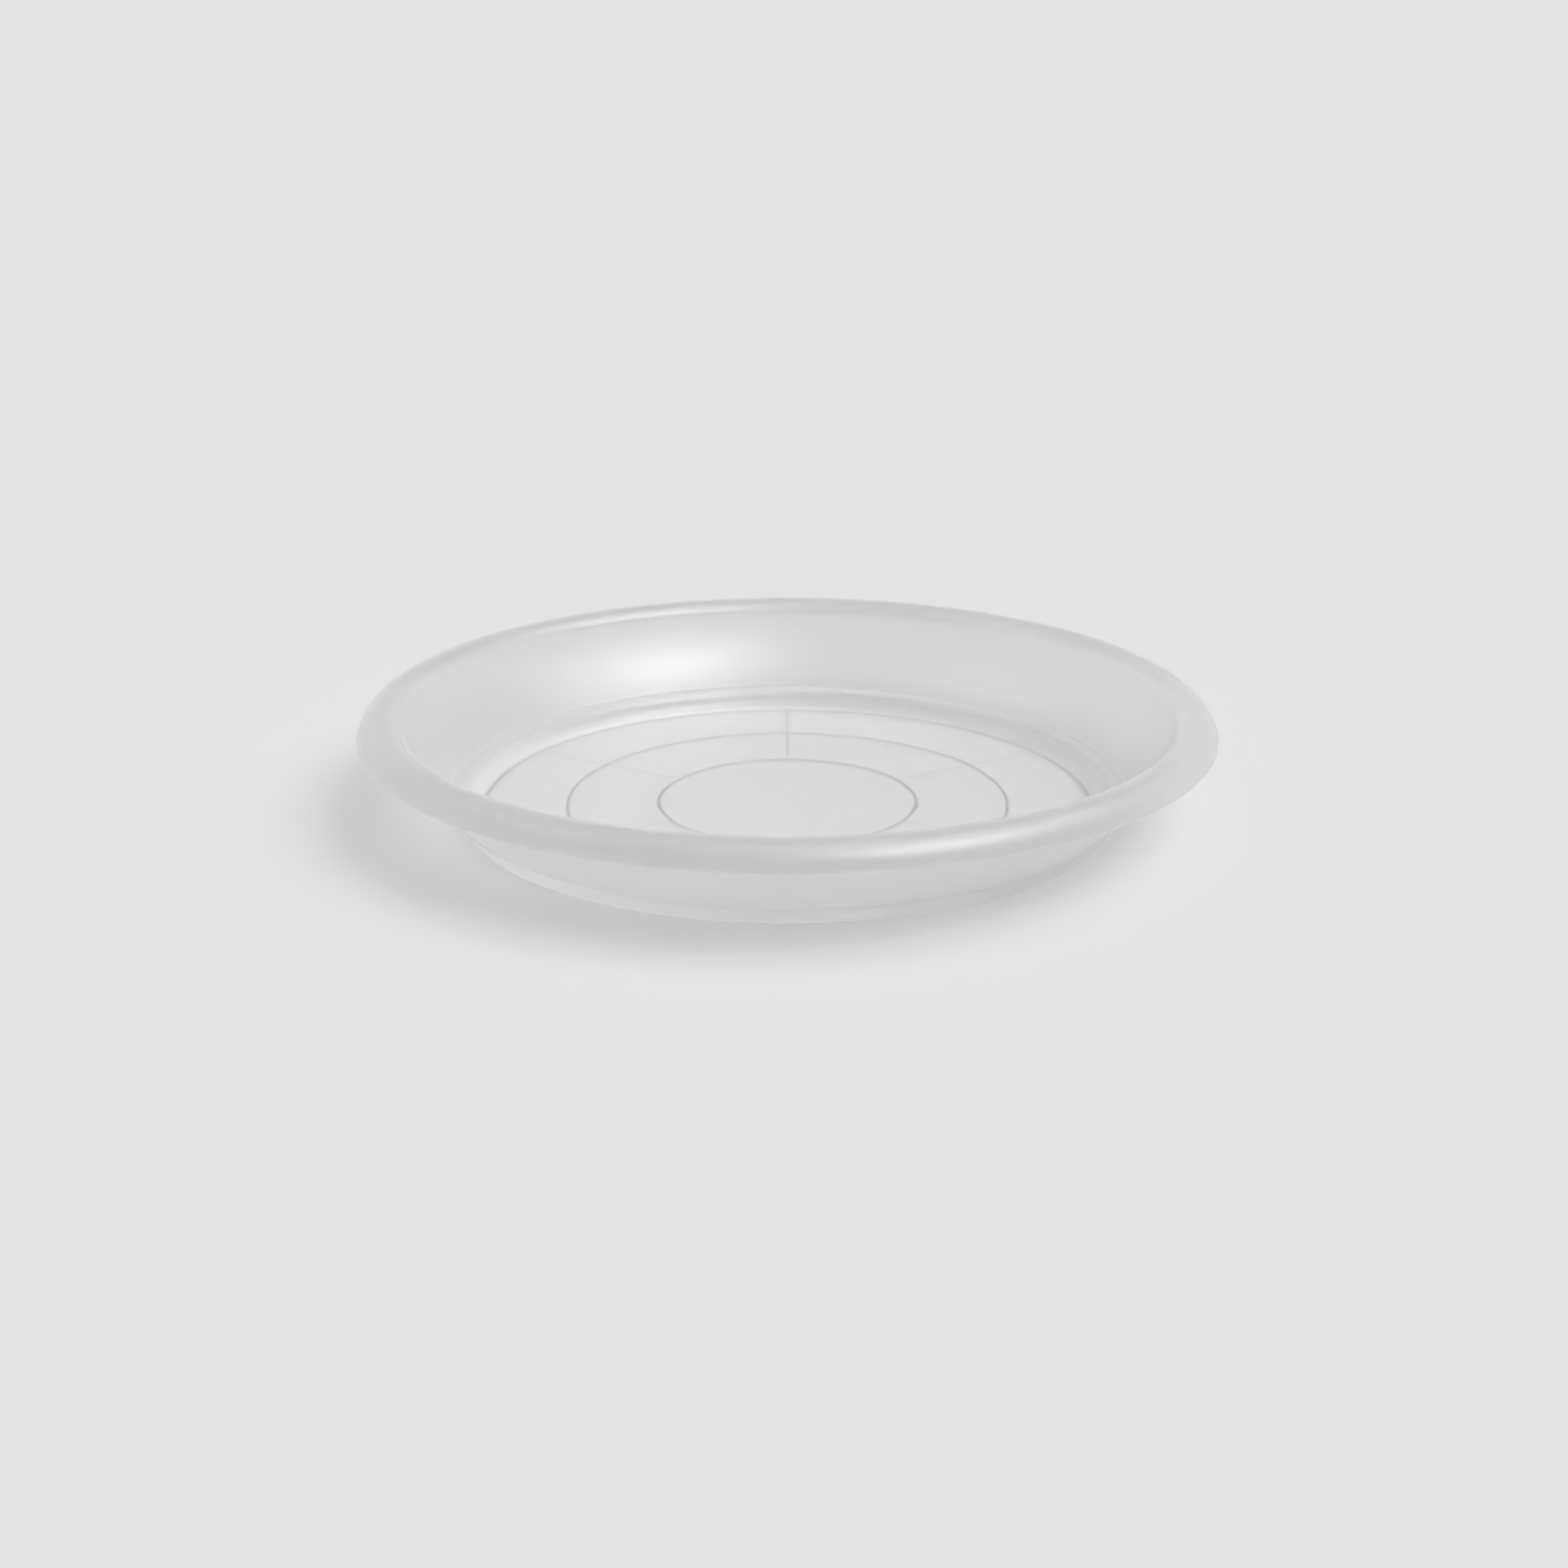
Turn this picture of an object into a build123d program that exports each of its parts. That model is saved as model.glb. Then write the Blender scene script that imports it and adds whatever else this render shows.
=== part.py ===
from build123d import *
from math import asin, cos, degrees, hypot, radians, sin
import os

# Round saucer for a plant pot, moulded in one piece from milky translucent plastic.
# Millimetres. +Z is up, and the origin is on the ground, under the middle of the floor.

# Overall size
height = 28.3                # ground to the crown of the rim
rim_radius = 110.0           # axis to the lower edge of the lip
wall = 1.1                   # thickness of the wall, the ledge and the lip

# Rim: the wall bends outwards over the crown and down into the lip
lip_overhang = 6.0           # crown out to the lip's lower edge, on the level
crown_flat = 0.6             # level stretch from the crown in to the bend, on the top face
crown_bend = 4.3             # bend from the wall up to the crown, on the top face
lip_bend_height = 7.6        # upright half-axis of the lip's quarter ellipse
lip_drop = 6.25              # crown down to the lip's lower edge
lip_round = 0.35             # rounding of the lip's lower edge
wall_top_angle = 70.2        # slope where the wall meets the crown bend, from level
wall_spread = 16.8           # crease at the wall's foot out to the crown, on the level

# Step: a narrow level ledge, an S-shaped face and the upright foot
ledge_height = 6.3           # ground to the top of the ledge
crease_round = 0.3           # rounding in the crease between the ledge and the wall
foot_inset = 3.2             # crease in to the outside of the foot, on the level
step_angle = 68.0            # steepest slope of the step's inner face, from level
face_share = 0.19            # share of the step's rise that is straight
shoulder_share = 0.455       # share of the two bends that the upper one takes
ledge_corner_round = 0.5     # outer corner under the ledge
foot_round = 0.6             # outer edge of the foot on the ground
foot_width = 1.8             # ring that the foot stands on

# Floor and the ribs under it
floor_thickness = 0.9        # floor between the ribs
rib_depth = 0.3              # ring ribs, from the floor's underside to the ground
spoke_depth = 0.2            # radial ribs, shallower than the rings
rib_width = 1.7              # width of a rib at its root
rib_tip_width = 1.2          # width of a ring rib where it meets the ground
outer_ring_inset = 5.1       # outside of the foot in to the outer ring rib
outer_ring_gap = 21.7        # outer ring rib in to the middle one
inner_ring_gap = 23.7        # middle ring rib in to the inner one
spoke_count = 6
first_spoke_angle = 30.0
crossing_round = 0.8         # plan rounding where a radial rib meets a ring

# Radii that follow from the rim inwards
crown_radius = rim_radius - lip_overhang
crease_radius = crown_radius - wall_spread
base_radius = crease_radius - foot_inset
outer_ring_radius = base_radius - outer_ring_inset
middle_ring_radius = outer_ring_radius - outer_ring_gap
inner_ring_radius = middle_ring_radius - inner_ring_gap

# Heights and places that follow from the sizes
floor_top = rib_depth + floor_thickness
ledge_under = ledge_height - wall
step_rise = ledge_height - floor_top
bend_sum = (1 - face_share) * step_rise / (1 - cos(radians(step_angle)))
shoulder_bend = shoulder_share * bend_sum
floor_bend = bend_sum - shoulder_bend
under_bend = shoulder_bend - wall
face_length = face_share * step_rise / sin(radians(step_angle))
ledge_inner_radius = base_radius + under_bend
face_top_radius = ledge_inner_radius - shoulder_bend * sin(radians(step_angle))
face_foot_radius = face_top_radius - face_length * cos(radians(step_angle))
floor_flat_radius = face_foot_radius - floor_bend * sin(radians(step_angle))
foot_inner_radius = base_radius - foot_width

lip_centre = (crown_radius, height - lip_bend_height)
lip_end_angle = degrees(asin(1 - lip_drop / lip_bend_height))
lip_reach = lip_overhang / cos(radians(lip_end_angle))
lip_under_height = lip_bend_height - wall
lip_under_angle = degrees(asin((lip_bend_height - lip_drop) / lip_under_height))
lip_edge_height = height - lip_drop
bend_radius = crown_radius - crown_flat
crown_centre = (bend_radius, height - crown_bend)
ring_radii = (outer_ring_radius, middle_ring_radius, inner_ring_radius)


def top_outline():
    """Draws the top face's line, from the axis to the lip, and returns the wall's bowl arc."""
    floor_line = Line((0, floor_top), (floor_flat_radius, floor_top))
    floor_arc = JernArc(floor_line @ 1, floor_line % 1, floor_bend, step_angle)
    face = PolarLine(floor_arc @ 1, face_length, step_angle)
    shoulder = JernArc(face @ 1, face % 1, shoulder_bend, -step_angle)
    ledge = Line(shoulder @ 1, (crease_radius, ledge_height))
    crown = CenterArc(crown_centre, crown_bend, 90, wall_top_angle)
    bowl = TangentArc(crown @ 1, ledge @ 1, tangent=crown % 1)
    Line((crown_radius, height), crown @ 0)
    EllipticalCenterArc(
        lip_centre, lip_reach, lip_bend_height, lip_end_angle, arc_size=90 - lip_end_angle
    )
    return bowl


def under_outline(bowl):
    """Draws the underside's line, one wall below the top face, and returns the ledge's corner."""
    lip = EllipticalCenterArc(
        lip_centre,
        lip_reach - wall,
        lip_under_height,
        lip_under_angle,
        arc_size=90 - lip_under_angle,
    )
    Line((rim_radius, lip_edge_height), lip @ 0)
    crown = CenterArc(crown_centre, crown_bend - wall, 90, wall_top_angle)
    Line((crown_radius, height - wall), crown @ 0)
    downhill = bowl % 1
    bowl_foot = bowl @ 1 + Vector(-downhill.Y, downhill.X) * wall
    under_bowl = TangentArc(crown @ 1, bowl_foot, tangent=crown % 1)
    run_on = (bowl_foot.Y - ledge_under) / -downhill.Y
    ledge_corner = bowl_foot + downhill * run_on
    Polyline(
        under_bowl @ 1,
        ledge_corner,
        (base_radius, ledge_under),
        (base_radius, 0),
        (foot_inner_radius, 0),
        (foot_inner_radius, rib_depth),
        (0, rib_depth),
        (0, floor_top),
    )
    return ledge_corner


def ring_rib_outline(ring_radius):
    """Draws a ring rib's section: upright at its root, tapered to its tip on the ground."""
    root = rib_width / 2
    tip = rib_tip_width / 2
    taper_top = rib_depth - spoke_depth
    Polyline(
        (ring_radius - root, rib_depth),
        (ring_radius - root, taper_top),
        (ring_radius - tip, 0),
        (ring_radius + tip, 0),
        (ring_radius + root, taper_top),
        (ring_radius + root, rib_depth),
        close=True,
    )


def round_corner(section, place, radius):
    """Rounds the corner of a section that lies nearest to a place."""
    fillet(section.vertices().sort_by_distance(place)[0], radius)


def at_crossing(vertex):
    """Tells a corner between a spoke and a ring from the start points of the rings' circles."""
    return abs(vertex.Y) > rib_width and hypot(vertex.X, vertex.Y) < foot_inner_radius - rib_width


with BuildPart() as saucer:
    # Dish: one section turned round the axis
    with BuildSketch(Plane.XZ) as dish_section:
        with BuildLine():
            bowl_arc = top_outline()
            ledge_corner = under_outline(bowl_arc)
        make_face()
        round_corner(dish_section, (crease_radius, ledge_height), crease_round)
        round_corner(dish_section, (ledge_corner.X, ledge_corner.Y), ledge_corner_round)
        round_corner(dish_section, (base_radius, ledge_under), under_bend)
        round_corner(dish_section, (base_radius, 0), foot_round)
        round_corner(dish_section, (rim_radius, lip_edge_height), lip_round)
        round_corner(dish_section, (rim_radius - wall, lip_edge_height), lip_round)
    revolve(axis=Axis.Z)

    # Rib plan on the floor's underside: three rings and the spokes that cross them
    with BuildSketch(Plane.XY.offset(rib_depth)) as rib_plan:
        for ring_radius in ring_radii:
            Circle(ring_radius + rib_width / 2)
            Circle(ring_radius - rib_width / 2, mode=Mode.SUBTRACT)
        spoke_length = foot_inner_radius - inner_ring_radius
        spoke_middle = inner_ring_radius + spoke_length / 2
        with PolarLocations(spoke_middle, spoke_count, start_angle=first_spoke_angle):
            Rectangle(spoke_length, rib_width)
        fillet(rib_plan.vertices().filter_by(at_crossing), crossing_round)
    extrude(amount=-spoke_depth)

    # The rings are deeper than the spokes, and their tips share the ground with the foot
    with BuildSketch(Plane.XZ):
        for ring_radius in ring_radii:
            with BuildLine():
                ring_rib_outline(ring_radius)
            make_face()
    revolve(axis=Axis.Z)

saucer.part.label = "saucer"

os.makedirs("parts", exist_ok=True)
export_step(saucer.part, "parts/saucer.step")
print("saucer", round(saucer.part.volume), "cubic millimetres")
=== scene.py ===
"""A plant saucer of milky plastic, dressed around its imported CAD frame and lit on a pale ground."""

import logging
import math
from dataclasses import dataclass, field
from enum import Enum
from typing import Any

import bpy
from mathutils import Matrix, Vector


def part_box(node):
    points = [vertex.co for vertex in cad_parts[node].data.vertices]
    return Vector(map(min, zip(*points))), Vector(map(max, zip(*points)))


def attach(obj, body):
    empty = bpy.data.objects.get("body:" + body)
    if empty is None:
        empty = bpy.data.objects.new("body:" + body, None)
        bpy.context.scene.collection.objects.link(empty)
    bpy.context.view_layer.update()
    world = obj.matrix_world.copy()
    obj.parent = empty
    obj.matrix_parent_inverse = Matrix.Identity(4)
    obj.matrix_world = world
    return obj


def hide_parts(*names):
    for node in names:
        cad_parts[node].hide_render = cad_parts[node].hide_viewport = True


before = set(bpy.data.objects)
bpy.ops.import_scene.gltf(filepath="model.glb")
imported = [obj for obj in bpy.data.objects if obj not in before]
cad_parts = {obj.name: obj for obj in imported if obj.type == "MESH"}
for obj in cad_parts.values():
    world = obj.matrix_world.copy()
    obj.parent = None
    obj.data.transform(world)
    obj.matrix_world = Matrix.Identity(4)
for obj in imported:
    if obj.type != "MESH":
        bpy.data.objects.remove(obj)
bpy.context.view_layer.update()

NODE = "saucer"
BODY = "root"
LONGEST_PATH = 32

RING_RADII = (0.0335, 0.0572, 0.0789)
RIB_DEPTH = 0.0003
SPOKE_COUNT = 6
SPOKE_PITCH = 2 * math.pi / SPOKE_COUNT
FIRST_SPOKE = math.radians(30.0)

Tint = tuple[float, float, float, float]

log = logging.getLogger("plant_saucer")


class Value:
    """A shader socket that takes part in sums as a Python number does."""

    def __init__(self, tree: "ShaderTree", socket: bpy.types.NodeSocket | None) -> None:
        """Wraps an output socket of a tree, or None for a node that has no output."""
        self.tree = tree
        self.socket = socket

    def size(self) -> "Value":
        """Drops the sign."""
        return self.tree.maths("ABSOLUTE", self)

    def exponent(self) -> "Value":
        """Raises e to this value."""
        return self.tree.maths("EXPONENT", self)

    def over(self, other: "Term") -> "Value":
        """Gives 1 where this value is over another, and 0 elsewhere."""
        return self.tree.maths("GREATER_THAN", self, other)

    def larger(self, other: "Term") -> "Value":
        """Takes the larger of this value and another."""
        return self.tree.maths("MAXIMUM", self, other)

    def step(self, start: float, end: float) -> "Value":
        """Runs smoothly from 0 to 1 as this value goes from the start to the end."""
        given = {"Value": self, "From Min": start, "From Max": end}
        return self.tree.node("ShaderNodeMapRange", {"interpolation_type": "SMOOTHSTEP"}, given)

    def __add__(self, other: "Term") -> "Value":
        """Adds a number or another value."""
        return self.tree.maths("ADD", self, other)

    def __sub__(self, other: "Term") -> "Value":
        """Takes a number or another value away."""
        return self.tree.maths("SUBTRACT", self, other)

    def __rsub__(self, other: "Term") -> "Value":
        """Takes this value away from a number."""
        return self.tree.maths("SUBTRACT", other, self)

    def __mul__(self, other: "Term") -> "Value":
        """Multiplies by a number or another value."""
        return self.tree.maths("MULTIPLY", self, other)

    def __truediv__(self, other: "Term") -> "Value":
        """Divides by a number or another value."""
        return self.tree.maths("DIVIDE", self, other)

    def __rtruediv__(self, other: "Term") -> "Value":
        """Divides a number by this value."""
        return self.tree.maths("DIVIDE", other, self)

    __radd__ = __add__
    __rmul__ = __mul__


Term = Value | float
Colour = Value | Tint


class ShaderTree:
    """A node tree that is built with one call a node."""

    def __init__(self, owner: bpy.types.Material | bpy.types.World) -> None:
        """Empties the owner's node tree.

        Args:
            owner: the material or the world whose tree is built.
        """
        owner.use_nodes = True
        self.tree = owner.node_tree
        self.tree.nodes.clear()

    def node(
        self,
        kind: str,
        settings: dict[str, Any] | None = None,
        inputs: dict[str | int, Any] | None = None,
        output: str | int = 0,
    ) -> Value:
        """Adds a node, sets its properties and then its sockets.

        Args:
            kind: the node's Blender type.
            settings: properties to set before the sockets.
            inputs: a value or a link for each socket, by name or number.
            output: the output to return, by name or number.

        Returns:
            The chosen output, or an empty value where the node has none.
        """
        made = self.tree.nodes.new(kind)
        for name, setting in (settings or {}).items():
            setattr(made, name, setting)
        for name, given in (inputs or {}).items():
            if isinstance(given, Value):
                self.tree.links.new(given.socket, made.inputs[name])
            else:
                made.inputs[name].default_value = given
        return Value(self, made.outputs[output] if made.outputs else None)

    def maths(self, operation: str, *terms: Term) -> Value:
        """Adds a Math node with the given terms, in order, and returns its result."""
        return self.node("ShaderNodeMath", {"operation": operation}, dict(enumerate(terms)))

    def along(self, vector: Value, axis: Vector) -> Value:
        """Measures a vector along an axis, which is given as a unit vector."""
        given = {0: vector, 1: tuple(axis)}
        return self.node("ShaderNodeVectorMath", {"operation": "DOT_PRODUCT"}, given, output="Value")

    def blend(self, share: Term, first: Colour, second: Colour) -> Value:
        """Mixes two colours.

        Args:
            share: how much of the second colour there is.
            first: the colour where the share is 0.
            second: the colour where the share is 1.

        Returns:
            The mixed colour.
        """
        factor, first_colour, second_colour, mixed = 0, 6, 7, 2
        given = {factor: share, first_colour: first, second_colour: second}
        return self.node("ShaderNodeMix", {"data_type": "RGBA"}, given, output=mixed)


@dataclass(frozen=True)
class MilkyPlastic:
    """Translucent polypropylene with a satin face, as it comes out of the mould.

    The wall, lip and foot tints and the dark lines over the ribs are painted shade, and the foot's lowest
    edge is left clear as a painted light line. The places of these tints are radii and heights from the
    saucer's origin, in metres.
    """

    clear: Tint = (1.0, 1.0, 1.0, 1.0)
    # Painted shade: the wall and the crown are greyed so that they come out darker than the clear floor.
    wall_painted_shade: Tint = (0.91, 0.91, 0.91, 1.0)
    # Painted shade on the foot's outer face, where it lies under the ledge's overhang.
    foot_painted_shade: Tint = (0.83, 0.83, 0.83, 1.0)
    # Painted shade on the lip's outer, lower part.
    lip_painted_shade: Tint = (0.87, 0.87, 0.87, 1.0)
    # Painted shade: the dark lines drawn over the ring ribs and the spokes.
    rib_shade_colour: Tint = (0.17, 0.17, 0.17, 1.0)
    milk: Tint = (0.93, 0.93, 0.93, 1.0)
    floor_end: float = 0.0868
    wall_start: float = 0.0885
    lip_start: float = 0.1063
    lip_full: float = 0.1088
    foot_start: float = 0.0830
    foot_full: float = 0.0838
    foot_join: float = 0.0050
    foot_top: float = 0.0056
    # The foot's lowest edge is left clear of the painted shade, a painted light line along it.
    painted_light_edge_low: float = 0.0003
    painted_light_edge_top: float = 0.0009
    # How much of the painted rib shade shows on the floor's top face, and the width of its lines.
    top_face_shade_share: float = 0.3
    rib_shade_width: float = 0.0007
    spoke_share: float = 0.6
    roughness: float = 0.28
    roughness_play: float = 0.03
    sheen: float = 0.18
    sheen_roughness: float = 0.17
    ior: float = 1.49
    haze: float = 380.0
    forward_scatter: float = 0.7
    flow_scale: float = 45.0

    def rib_shade_mask(self, tree: ShaderTree, place: Value, radius: Value) -> Value:
        """Paints dark shade lines over the ring ribs and, between the inner and the outer ring, over the
        spokes.

        Args:
            tree: the material's tree.
            place: the place on the saucer.
            radius: the place's distance from the axis.

        Returns:
            The painted shade's strength, 1 in the middle of a ring.
        """
        rings = sum((radius - ring).size().step(self.rib_shade_width, 0.0) for ring in RING_RADII)
        turns = [FIRST_SPOKE + line * SPOKE_PITCH for line in range(SPOKE_COUNT // 2)]
        across = [Vector((-math.sin(turn), math.cos(turn), 0.0)) for turn in turns]
        spokes = sum(tree.along(place, axis).size().step(self.rib_shade_width, 0.0) for axis in across)
        inner, outer = min(RING_RADII), max(RING_RADII)
        beyond_inner = radius.step(inner, inner + self.rib_shade_width)
        within_outer = radius.step(outer + self.rib_shade_width, outer)
        return rings.larger(spokes * (beyond_inner * within_outer) * self.spoke_share)

    def colour(self, tree: ShaderTree, place: Value) -> Value:
        """Paints shade into the colour: a darker wall, lip and foot, and dark lines over the ribs under the
        floor; the foot's lowest edge is left clear as a painted light line.

        Args:
            tree: the material's tree.
            place: the place on the saucer.

        Returns:
            The colour that light takes on at the surface, with the painted shade and the painted light line
            in it.
        """
        height = tree.along(place, Vector((0.0, 0.0, 1.0)))
        level = {0: place, 1: (1.0, 1.0, 0.0)}
        flat = tree.node("ShaderNodeVectorMath", {"operation": "MULTIPLY"}, level)
        radius = tree.node("ShaderNodeVectorMath", {"operation": "LENGTH"}, {0: flat}, output="Value")
        # Painted shade on the wall and the crown.
        body = tree.blend(radius.step(self.floor_end, self.wall_start), self.clear, self.wall_painted_shade)
        # Painted shade on the lip's outer part.
        body = tree.blend(radius.step(self.lip_start, self.lip_full), body, self.lip_painted_shade)
        # Painted shade on the foot's outer face, under the ledge.
        under_ledge = height.step(self.foot_top, self.foot_join)
        foot_shade_mask = radius.step(self.foot_start, self.foot_full) * under_ledge
        body = tree.blend(foot_shade_mask, body, self.foot_painted_shade)
        # Painted light line: the foot's lowest edge is left clear.
        body = tree.blend(height.step(self.painted_light_edge_top, self.painted_light_edge_low), body, self.clear)
        # Painted shade lines over the ribs: full at the rib tips, a share of it higher up, on the floor's
        # top face too.
        rib_shade_reach = height.step(RIB_DEPTH, 0.0) * (1 - self.top_face_shade_share) + self.top_face_shade_share
        return tree.blend(self.rib_shade_mask(tree, place, radius) * rib_shade_reach, body, self.rib_shade_colour)

    def material(self) -> bpy.types.Material:
        """Makes the plastic's material.

        Returns:
            The new material.
        """
        made = bpy.data.materials.new("milky_plastic")
        tree = ShaderTree(made)
        place = tree.node("ShaderNodeTexCoord", output="Object")
        flow = tree.node("ShaderNodeTexNoise", inputs={"Vector": place, "Scale": self.flow_scale})
        surface = tree.node(
            "ShaderNodeBsdfPrincipled",
            inputs={
                "Base Color": self.colour(tree, place),
                "Roughness": flow * self.roughness_play + self.roughness,
                "IOR": self.ior,
                "Transmission Weight": 1.0,
                "Coat Weight": self.sheen,
                "Coat Roughness": self.sheen_roughness,
            },
        )
        inside = tree.node(
            "ShaderNodeVolumeScatter",
            inputs={"Color": self.milk, "Density": self.haze, "Anisotropy": self.forward_scatter},
        )
        tree.node("ShaderNodeOutputMaterial", inputs={"Surface": surface, "Volume": inside})
        return made


@dataclass(frozen=True)
class GroundPaint:
    """Matt pale paint on the ground."""

    colour: Tint = (0.77, 0.77, 0.77, 1.0)

    def material(self) -> bpy.types.Material:
        """Makes the ground's material.

        Returns:
            The new material.
        """
        made = bpy.data.materials.new("ground_paint")
        tree = ShaderTree(made)
        paint = tree.node("ShaderNodeBsdfDiffuse", inputs={"Color": self.colour})
        tree.node("ShaderNodeOutputMaterial", inputs={"Surface": paint})
        return made


@dataclass
class Outline:
    """A line in the half section, drawn as a pen moves: x is the radius and y the height."""

    start: Vector
    heading: float = 0.0
    arc_step: float = math.radians(4.0)
    edge_support: float = 0.00015
    points: list[Vector] = field(default_factory=list)

    def __post_init__(self) -> None:
        """Puts the pen down at the start."""
        self.points.append(self.start.copy())

    @property
    def place(self) -> Vector:
        """Where the pen is."""
        return self.points[-1]

    def forward(self, length: float) -> "Outline":
        """Draws a straight line, with a point near each end that keeps it flat when shaded.

        Args:
            length: the line's length.

        Returns:
            The outline itself.
        """
        ahead = Vector((math.cos(self.heading), math.sin(self.heading)))
        origin = self.place.copy()
        if length > 3 * self.edge_support:
            self.points.append(origin + ahead * self.edge_support)
            self.points.append(origin + ahead * (length - self.edge_support))
        self.points.append(origin + ahead * length)
        return self

    def bend(self, radius: float, turn: float) -> "Outline":
        """Draws an arc that starts along the heading.

        Args:
            radius: the arc's radius.
            turn: the angle that it turns by, positive to the left.

        Returns:
            The outline itself.
        """
        side = math.copysign(1.0, turn)
        centre = self.place + side * radius * Vector((-math.sin(self.heading), math.cos(self.heading)))
        steps = max(2, math.ceil(abs(turn) / self.arc_step))
        for step in range(1, steps + 1):
            angle = self.heading + turn * step / steps
            self.points.append(centre + side * radius * Vector((math.sin(angle), -math.cos(angle))))
        self.heading += turn
        return self

    def bend_to(self, target: Vector, end_heading: float) -> "Outline":
        """Draws the arc that reaches a place with a given heading.

        Args:
            target: where the arc ends.
            end_heading: its heading there.

        Returns:
            The outline itself.
        """
        chord = target - self.place
        slope = math.atan2(chord.y, chord.x)
        turn = 2 * (end_heading - slope)
        self.heading = end_heading - turn
        return self.bend(chord.length / (2 * math.sin(turn / 2)), turn)

    def ellipse(self, centre: Vector, half: Vector, start: float, end: float) -> "Outline":
        """Draws part of an ellipse.

        Args:
            centre: the ellipse's centre.
            half: its two half-axes.
            start: the angle where it starts.
            end: the angle where it ends.

        Returns:
            The outline itself.
        """
        steps = math.ceil(abs(end - start) / self.arc_step)
        for step in range(1, steps + 1):
            angle = start + (end - start) * step / steps
            self.points.append(centre + Vector((half.x * math.cos(angle), half.y * math.sin(angle))))
        return self

    def round_corner(self, place: Vector, radius: float) -> "Outline":
        """Rounds the corner that lies nearest to a place.

        Args:
            place: the corner's place.
            radius: the radius of the rounding.

        Returns:
            The outline itself.
        """
        at = min(range(len(self.points)), key=lambda i: (self.points[i] - place).length)
        corner = self.points[at]
        inward = (corner - self.points[at - 1]).normalized()
        outward = (self.points[at + 1] - corner).normalized()
        turn = inward.angle_signed(outward)
        reach = radius * math.tan(abs(turn) / 2)
        taken = reach + self.edge_support
        first, last = at, at
        while first > 0 and (self.points[first] - corner).length < taken:
            first -= 1
        while last < len(self.points) - 1 and (self.points[last] - corner).length < taken:
            last += 1
        arc = Outline(corner - inward * reach, math.atan2(inward.y, inward.x), self.arc_step * 2)
        arc.bend(radius, -turn)
        self.points[first + 1:last] = arc.points
        return self


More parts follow.
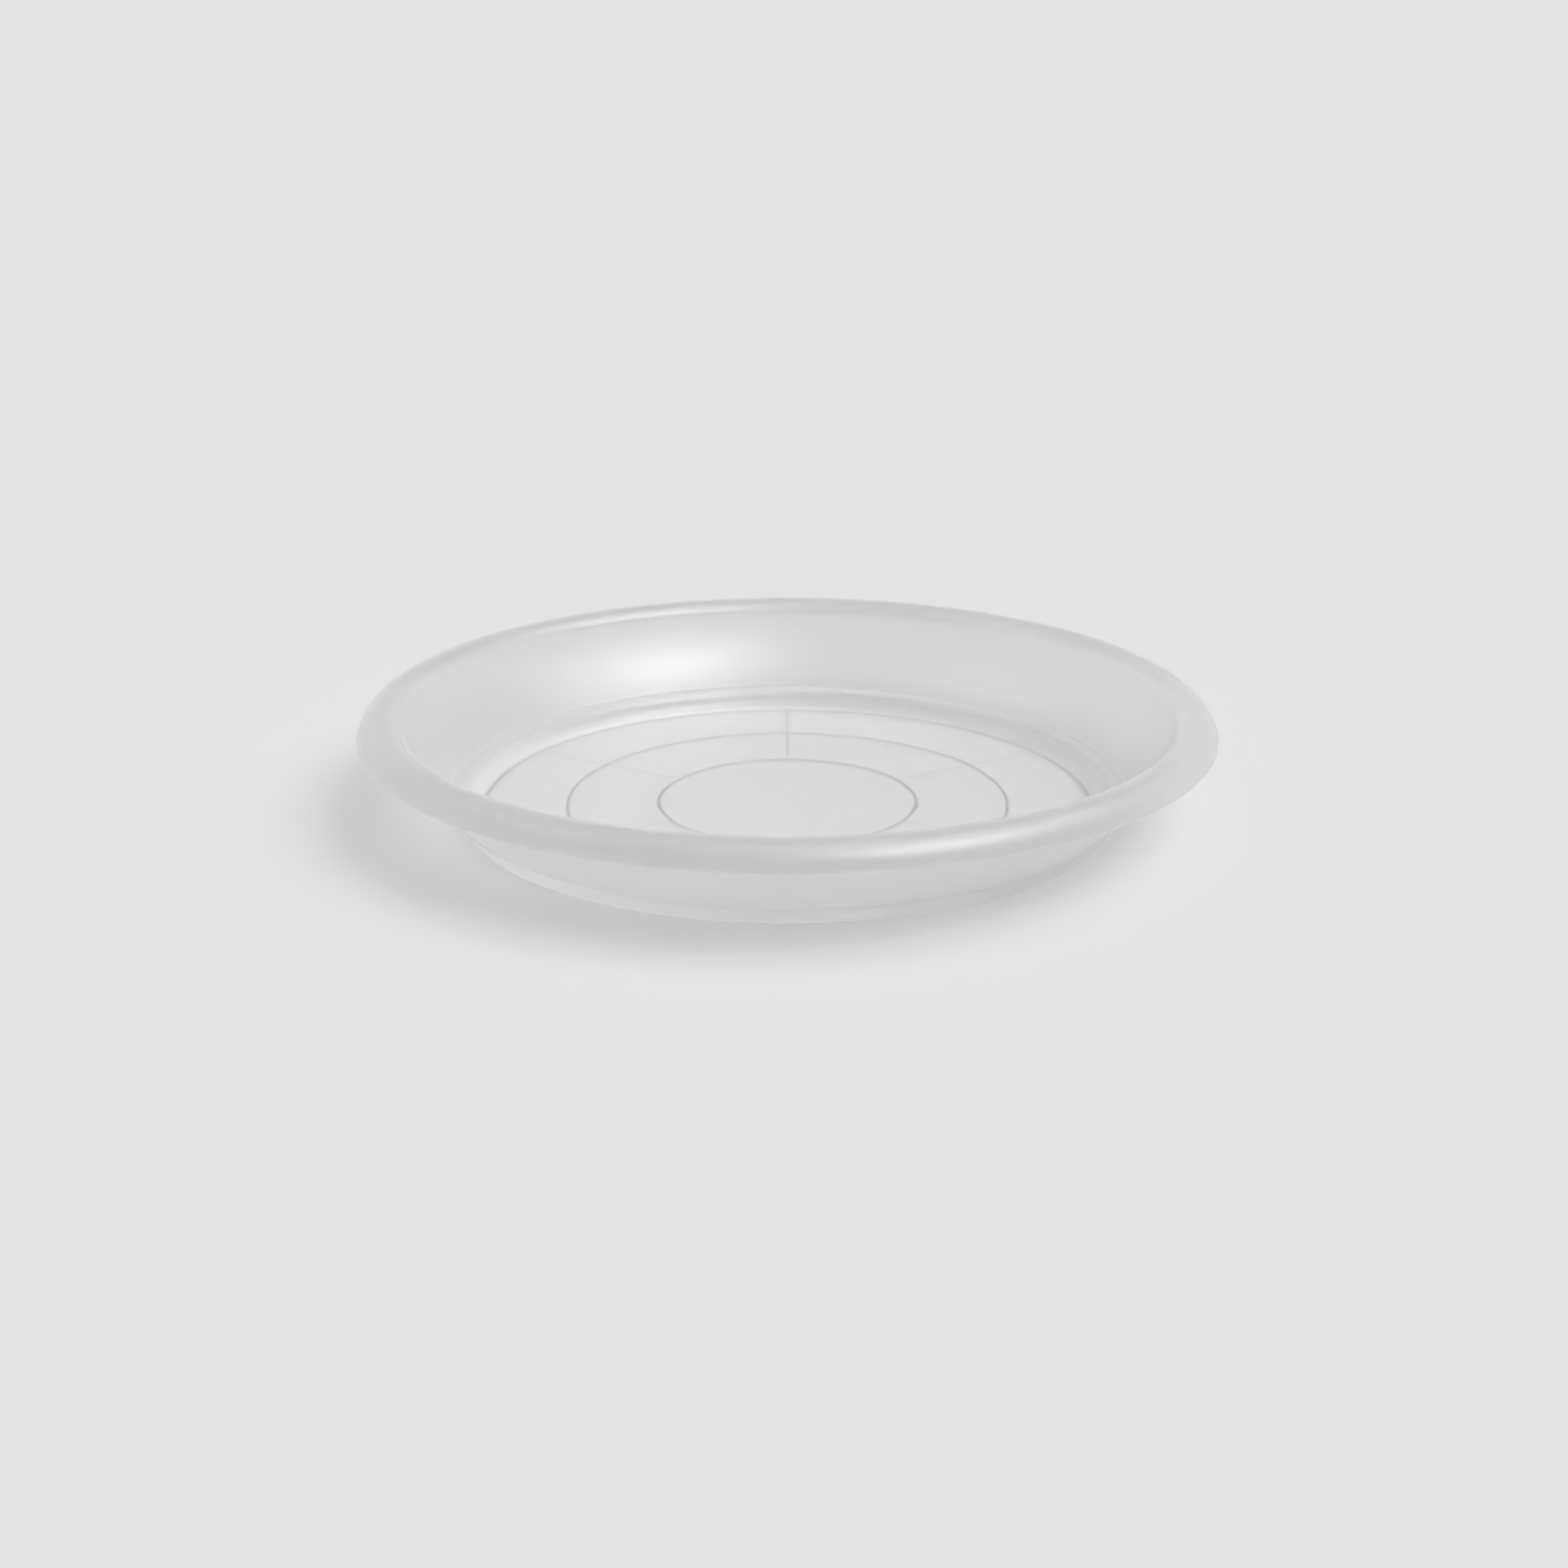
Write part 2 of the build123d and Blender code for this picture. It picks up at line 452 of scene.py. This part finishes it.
@dataclass(frozen=True)
class DishSection:
    """Sizes of the saucer's half section, in metres."""

    height: float
    rim_radius: float = 0.110
    wall: float = 0.0011
    lip_overhang: float = 0.006
    crown_flat: float = 0.0006
    crown_bend: float = 0.0043
    lip_bend_height: float = 0.0076
    lip_drop: float = 0.00625
    lip_round: float = 0.00035
    wall_top_slope: float = math.radians(70.2)
    wall_spread: float = 0.0168
    ledge_height: float = 0.0063
    crease_round: float = 0.0003
    foot_inset: float = 0.0032
    step_slope: float = math.radians(68.0)
    face_share: float = 0.19
    shoulder_share: float = 0.455
    ledge_corner_round: float = 0.0005
    foot_round: float = 0.0006
    foot_width: float = 0.0018
    floor_thickness: float = 0.0009
    rib_depth: float = RIB_DEPTH

    @property
    def crease(self) -> Vector:
        """The corner between the ledge and the wall, on the top face."""
        radius = self.rim_radius - self.lip_overhang - self.wall_spread
        return Vector((radius, self.ledge_height))

    @property
    def base_radius(self) -> float:
        """Axis to the outside of the foot."""
        return self.crease.x - self.foot_inset

    @property
    def foot_inner_radius(self) -> float:
        """Axis to the inside of the foot."""
        return self.base_radius - self.foot_width

    @property
    def step_rise(self) -> float:
        """Floor up to the ledge, on the top face."""
        return self.ledge_height - self.floor_thickness - self.rib_depth

    @property
    def step_bends(self) -> tuple[float, float]:
        """Radii of the step's upper and lower bends, on the top face."""
        both = (1 - self.face_share) * self.step_rise / (1 - math.cos(self.step_slope))
        return self.shoulder_share * both, (1 - self.shoulder_share) * both

    def crown_start(self, inset: float) -> Vector:
        """Finds where the wall runs into the crown.

        Args:
            inset: distance under the top face.

        Returns:
            The place in the half section.
        """
        bend_radius = self.rim_radius - self.lip_overhang - self.crown_flat
        centre = Vector((bend_radius, self.height - self.crown_bend))
        across = Vector((-math.sin(self.wall_top_slope), math.cos(self.wall_top_slope)))
        return centre + (self.crown_bend - inset) * across

    def draw_rim(self, outline: Outline, inset: float) -> None:
        """Draws the wall, the crown and the lip.

        Args:
            outline: the outline to draw on, with its pen at the wall's foot.
            inset: distance under the top face.
        """
        outline.bend_to(self.crown_start(inset), self.wall_top_slope)
        outline.bend(self.crown_bend - inset, -self.wall_top_slope)
        outline.forward(self.crown_flat)
        lip_end = math.asin(1 - self.lip_drop / self.lip_bend_height)
        half = Vector((self.lip_overhang / math.cos(lip_end) - inset, self.lip_bend_height - inset))
        centre = Vector((self.rim_radius - self.lip_overhang, self.height - self.lip_bend_height))
        edge = math.asin((self.lip_bend_height - self.lip_drop) / half.y)
        outline.ellipse(centre, half, math.pi / 2, edge)

    def inside(self) -> Outline:
        """Draws the top face, from the axis to the lip's edge.

        Returns:
            The outline.
        """
        upper, lower = self.step_bends
        face = self.face_share * self.step_rise / math.sin(self.step_slope)
        step_width = (upper + lower) * math.sin(self.step_slope) + face * math.cos(self.step_slope)
        ledge_start = self.base_radius + upper - self.wall
        outline = Outline(Vector((0.0, self.rib_depth + self.floor_thickness)))
        outline.forward(ledge_start - step_width)
        outline.bend(lower, self.step_slope)
        outline.forward(face)
        outline.bend(upper, -self.step_slope)
        outline.forward(self.crease.x - ledge_start)
        self.draw_rim(outline, 0.0)
        return outline.round_corner(self.crease, self.crease_round)

    def outside(self) -> Outline:
        """Draws the outside, from the foot's inner edge on the ground to the lip's edge.

        Returns:
            The outline.
        """
        upper, _ = self.step_bends
        under_bend = upper - self.wall
        ledge_under = self.ledge_height - self.wall
        chord = self.crown_start(0.0) - self.crease
        slope = 2 * math.atan2(chord.y, chord.x) - self.wall_top_slope
        wall_foot = self.crease + self.wall * Vector((math.sin(slope), -math.cos(slope)))
        corner = Vector((wall_foot.x - (wall_foot.y - ledge_under) / math.tan(slope), ledge_under))
        outline = Outline(Vector((self.foot_inner_radius, 0.0)))
        outline.forward(self.foot_width - self.foot_round)
        outline.bend(self.foot_round, math.pi / 2)
        outline.forward(ledge_under - under_bend - self.foot_round)
        outline.bend(under_bend, -math.pi / 2)
        outline.forward(corner.x - outline.place.x)
        outline.heading = slope
        outline.forward((wall_foot - corner).length)
        self.draw_rim(outline, self.wall)
        return outline.round_corner(corner, self.ledge_corner_round)


@dataclass(frozen=True)
class RibPlan:
    """Ring ribs and spokes under the floor, in metres."""

    ring_radii: tuple[float, float, float] = RING_RADII
    spoke_depth: float = 0.0002
    rib_width: float = 0.0017
    rib_tip_width: float = 0.0012
    draft: float = 0.00005
    crossing_round: float = 0.0008
    fillet_rows: int = 5

    def half_width(self, radius: float) -> float:
        """Finds a spoke's half width, which grows where the spoke runs into a ring.

        Args:
            radius: distance from the axis.

        Returns:
            Half the spoke's width there.
        """
        root = self.rib_width / 2
        gap = min(abs(radius - ring) for ring in self.ring_radii) - root
        left = min(max(self.crossing_round - gap, 0.0), self.crossing_round)
        return root + self.crossing_round - math.sqrt(self.crossing_round**2 - left**2)

    def ring_outline(self, ring: float, root: float) -> list[Vector]:
        """Draws a ring rib and the rows beside it, outwards.

        Args:
            ring: the ring's radius.
            root: height of the floor's underside.

        Returns:
            The points of the outline.
        """
        root_side = self.rib_width / 2 + self.draft
        fillets = [
            root_side + self.crossing_round * (row / self.fillet_rows) ** 2
            for row in range(self.fillet_rows, 0, -1)
        ]
        side = [
            Vector((root_side, root)),
            Vector((self.rib_width / 2, root - self.spoke_depth)),
            Vector((self.rib_tip_width / 2, 0.0)),
        ]
        inner = [Vector((ring - away, root)) for away in fillets]
        inner += [Vector((ring - place.x, place.y)) for place in side]
        outer = [Vector((ring + place.x, place.y)) for place in reversed(side)]
        outer += [Vector((ring + away, root)) for away in reversed(fillets)]
        return inner + outer


@dataclass
class Saucer:
    """The saucer itself, turned from its half section, with the ribs under its floor."""

    section: DishSection
    ribs: RibPlan = RibPlan()
    plastic: MilkyPlastic = MilkyPlastic()
    free_columns: int = 44
    spoke_apron: float = 0.0026
    floor_row: float = 0.004
    sharp_angle: float = math.radians(35.0)

    def spoke_offsets(self, radius: float) -> list[tuple[float, float]]:
        """Lists the mesh's columns over one spoke.

        Args:
            radius: distance from the axis.

        Returns:
            Each column's distance from the spoke's middle, with its share of the spoke's depth.
        """
        half = self.ribs.half_width(radius)
        outer = half + self.ribs.draft
        side = [(self.spoke_apron, 0.0), (outer, 0.0), (half - self.ribs.draft, 1.0), (half / 2, 1.0)]
        return [(-away, deep) for away, deep in side] + [(0.0, 1.0)] + side[::-1]

    def columns(self, radius: float) -> list[tuple[float, float]]:
        """Lists the mesh's columns round the axis, close together over the spokes.

        Args:
            radius: distance from the axis.

        Returns:
            Each column's angle, with its share of a spoke's depth.
        """
        reach = min(max(radius, self.ribs.ring_radii[0]), self.section.foot_inner_radius)
        apron = math.asin(self.spoke_apron / reach)
        gap = (SPOKE_PITCH - 2 * apron) / (self.free_columns + 1)
        found: list[tuple[float, float]] = []
        for spoke in range(SPOKE_COUNT):
            middle = FIRST_SPOKE + spoke * SPOKE_PITCH
            for away, deep in self.spoke_offsets(reach):
                found.append((middle + math.asin(away / reach), deep))
            for column in range(1, self.free_columns + 1):
                found.append((middle + apron + gap * column, 0.0))
        return found

    def underside(self) -> list[Vector]:
        """Draws the floor's underside, from the foot in to the axis.

        Returns:
            The places along it.
        """
        root = self.section.rib_depth
        rows = [Vector((0.0, root))]
        for ring in self.ribs.ring_radii:
            outline = self.ribs.ring_outline(ring, root)
            free = outline[0].x - rows[-1].x
            count = max(1, round(free / self.floor_row))
            start = rows[-1].x
            rows += [Vector((start + free * row / count, root)) for row in range(1, count)]
            rows += outline
        rows.append(Vector((self.section.foot_inner_radius, root)))
        return rows[::-1]

    def rows(self) -> list[Vector]:
        """Draws the whole section: over the top face, round the lip, back outside and under.

        Returns:
            The places along it.
        """
        inside = self.section.inside()
        outside = self.section.outside()
        edge = Outline(inside.place, arc_step=inside.arc_step)
        edge.points = inside.points + outside.points[::-1]
        for place in (inside.place, outside.place):
            edge.round_corner(place.copy(), self.section.lip_round)
        return edge.points + self.underside()

    def mesh(self) -> bpy.types.Mesh:
        """Turns the section into a closed mesh.

        Returns:
            The mesh.
        """
        rows = self.rows()
        under_start = len(rows) - len(self.underside())
        places: list[Vector] = []
        starts: list[int] = []
        for number, row in enumerate(rows):
            starts.append(len(places))
            if row.x == 0.0:
                places.append(Vector((0.0, 0.0, row.y)))
                continue
            rib_shade_colour = number > under_start and row.x > self.ribs.ring_radii[0]
            for angle, deep in self.columns(row.x):
                spoke = self.section.rib_depth - self.ribs.spoke_depth * deep
                low = min(row.y, spoke) if rib_shade_colour else row.y
                places.append(Vector((row.x * math.cos(angle), row.x * math.sin(angle), low)))
        faces = self.faces(rows, starts)
        made = bpy.data.meshes.new("saucer_shell")
        made.from_pydata(places, [], faces)
        made.polygons.foreach_set("use_smooth", [True] * len(faces))
        made.set_sharp_from_angle(angle=self.sharp_angle)
        made.validate()
        return made

    def faces(self, rows: list[Vector], starts: list[int]) -> list[tuple[int, ...]]:
        """Lists the mesh's faces.

        Args:
            rows: the section's places.
            starts: the number of each row's first point.

        Returns:
            The point numbers of each face, facing outwards.
        """
        around = len(self.columns(self.section.rim_radius))
        found: list[tuple[int, ...]] = []
        for row in range(len(rows) - 1):
            here, there = starts[row], starts[row + 1]
            for column in range(around):
                after = (column + 1) % around
                if rows[row].x == 0.0:
                    found.append((here, there + column, there + after))
                elif rows[row + 1].x == 0.0:
                    found.append((here + column, there, here + after))
                else:
                    found.append((here + column, there + column, there + after, here + after))
        return found

    def build(self) -> bpy.types.Object:
        """Makes the saucer and dresses it.

        Returns:
            The dressed object.
        """
        mesh = self.mesh()
        mesh.materials.append(self.plastic.material())
        shell = bpy.data.objects.new("saucer_shell", mesh)
        bpy.context.scene.collection.objects.link(shell)
        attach(shell, BODY)
        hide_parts(NODE)
        return shell


@dataclass(frozen=True)
class Ground:
    """The pale ground that the saucer stands on."""

    half_width: float = 30.0
    gap: float = 0.00005
    paint: GroundPaint = GroundPaint()

    def build(self) -> bpy.types.Object:
        """Makes the ground, a hair under the foot.

        Returns:
            The ground.
        """
        side, level = self.half_width, -self.gap
        corners = [(-side, -side, level), (side, -side, level), (side, side, level), (-side, side, level)]
        mesh = bpy.data.meshes.new("ground")
        mesh.from_pydata(corners, [], [(0, 1, 2, 3)])
        mesh.materials.append(self.paint.material())
        ground = bpy.data.objects.new("ground", mesh)
        bpy.context.scene.collection.objects.link(ground)
        return ground


class BoxRole(Enum):
    """What a soft box is there for."""

    KEY = "key"
    OVERHEAD = "overhead"
    RIGHT = "right"
    LEFT = "left"


def towards(azimuth: float, elevation: float) -> Vector:
    """Points to a place in the room, from its angle round the saucer and its angle over the ground."""
    level = math.cos(elevation)
    return Vector((level * math.cos(azimuth), level * math.sin(azimuth), math.sin(elevation)))


@dataclass(frozen=True)
class SoftBox:
    """A large soft box far away, brightest in its middle and fading out. Its angles are in degrees."""

    role: BoxRole
    azimuth: float
    elevation: float
    strength: float
    half_width: float
    half_height: float

    def glow(self, tree: ShaderTree, direction: Value) -> Value:
        """Works out the box's light in each direction.

        Args:
            tree: the world's tree.
            direction: the direction that is looked in.

        Returns:
            The light's strength.
        """
        azimuth, elevation = math.radians(self.azimuth), math.radians(self.elevation)
        ahead = tree.along(direction, towards(azimuth, elevation))
        aside = tree.along(direction, towards(azimuth + math.pi / 2, 0.0))
        above = tree.along(direction, towards(azimuth, elevation + math.pi / 2))
        wide = aside / math.sin(math.radians(self.half_width))
        high = above / math.sin(math.radians(self.half_height))
        bell = ((wide * wide + high * high) / -2.0).exponent()
        return bell * ahead.over(0.0) * self.strength


@dataclass(frozen=True)
class Surroundings:
    """The room: one pale tone to the camera, and a light that depends on where it comes from."""

    boxes: tuple[SoftBox, ...]
    backdrop: Tint = (0.767, 0.767, 0.767, 1.0)
    light: Tint = (1.0, 1.0, 1.0, 1.0)
    back: float = 1.0
    backdrop_top: float = math.sin(math.radians(22.0))

    def build(self) -> bpy.types.World:
        """Makes the world.

        Returns:
            The world.
        """
        world = bpy.data.worlds.new("surroundings")
        tree = ShaderTree(world)
        direction = tree.node("ShaderNodeTexCoord", output="Generated")
        rib_shade_reach = tree.along(direction, Vector((0.0, 1.0, 0.0)))
        height = tree.along(direction, Vector((0.0, 0.0, 1.0)))
        strength = (1 + rib_shade_reach) * (1 - height.larger(0.0)) * (self.back / 2)
        for box in self.boxes:
            strength = strength + box.glow(tree, direction)
            log.info("placed the %s box", box.role.value)
        room = tree.node("ShaderNodeBackground", inputs={"Color": self.light, "Strength": strength})
        seen = tree.node("ShaderNodeBackground", inputs={"Color": self.backdrop})
        camera_ray, glossy_ray, clear_ray = (
            tree.node("ShaderNodeLightPath", output=f"Is {kind} Ray")
            for kind in ("Camera", "Glossy", "Transmission")
        )
        through = glossy_ray.larger(clear_ray) * height.step(self.backdrop_top, 0.0)
        given = {0: camera_ray.larger(through), 1: room, 2: seen}
        both = tree.node("ShaderNodeMixShader", inputs=given)
        tree.node("ShaderNodeOutputWorld", inputs={"Surface": both})
        bpy.context.scene.world = world
        return world


@dataclass(frozen=True)
class StudioCamera:
    """The camera, with its distance and height measured from the saucer's origin."""

    distance: float = 0.6168
    height: float = 0.2155
    pitch: float = math.radians(18.806)
    yaw: float = math.radians(0.083)
    lens: float = 57.44
    sensor: float = 36.0

    def build(self) -> bpy.types.Object:
        """Makes the camera and takes it into use.

        Returns:
            The camera.
        """
        camera = bpy.data.cameras.new("camera")
        camera.lens = self.lens
        camera.sensor_width = self.sensor
        placed = bpy.data.objects.new("camera", camera)
        placed.location = (0.0, -self.distance, self.height)
        placed.rotation_euler = (math.pi / 2 - self.pitch, 0.0, self.yaw)
        bpy.context.scene.collection.objects.link(placed)
        bpy.context.scene.camera = placed
        return placed


BOXES = (
    SoftBox(BoxRole.KEY, azimuth=-42.0, elevation=51.0, strength=6.2, half_width=15.0, half_height=9.0),
    SoftBox(BoxRole.OVERHEAD, azimuth=0.0, elevation=72.0, strength=2.35, half_width=14.0, half_height=14.0),
    SoftBox(BoxRole.RIGHT, azimuth=0.0, elevation=47.0, strength=1.1, half_width=16.0, half_height=13.0),
    SoftBox(BoxRole.LEFT, azimuth=180.0, elevation=47.0, strength=0.88, half_width=16.0, half_height=13.0),
)


def keep_light_paths(cycles: Any) -> None:
    """Lets light pass through the thin plastic as often as it really does.

    Args:
        cycles: the scene's Cycles settings.
    """
    cycles.blur_glossy = 0.0
    for kind in ("max", "diffuse", "glossy", "transmission", "volume"):
        setattr(cycles, f"{kind}_bounces", LONGEST_PATH)


def main() -> None:
    """Builds the saucer, its ground, the light and the camera."""
    logging.basicConfig(level=logging.INFO, format="%(name)s: %(message)s")
    _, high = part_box(NODE)
    saucer = Saucer(DishSection(height=high.z))
    shell = saucer.build()
    log.info("%s: %d points", shell.name, len(shell.data.vertices))
    for piece in (Ground(), StudioCamera()):
        log.info("placed %s", piece.build().name)
    Surroundings(BOXES).build()
    bpy.context.scene.view_settings.view_transform = "Standard"
    keep_light_paths(bpy.context.scene.cycles)


if __name__ == "__main__":
    main()
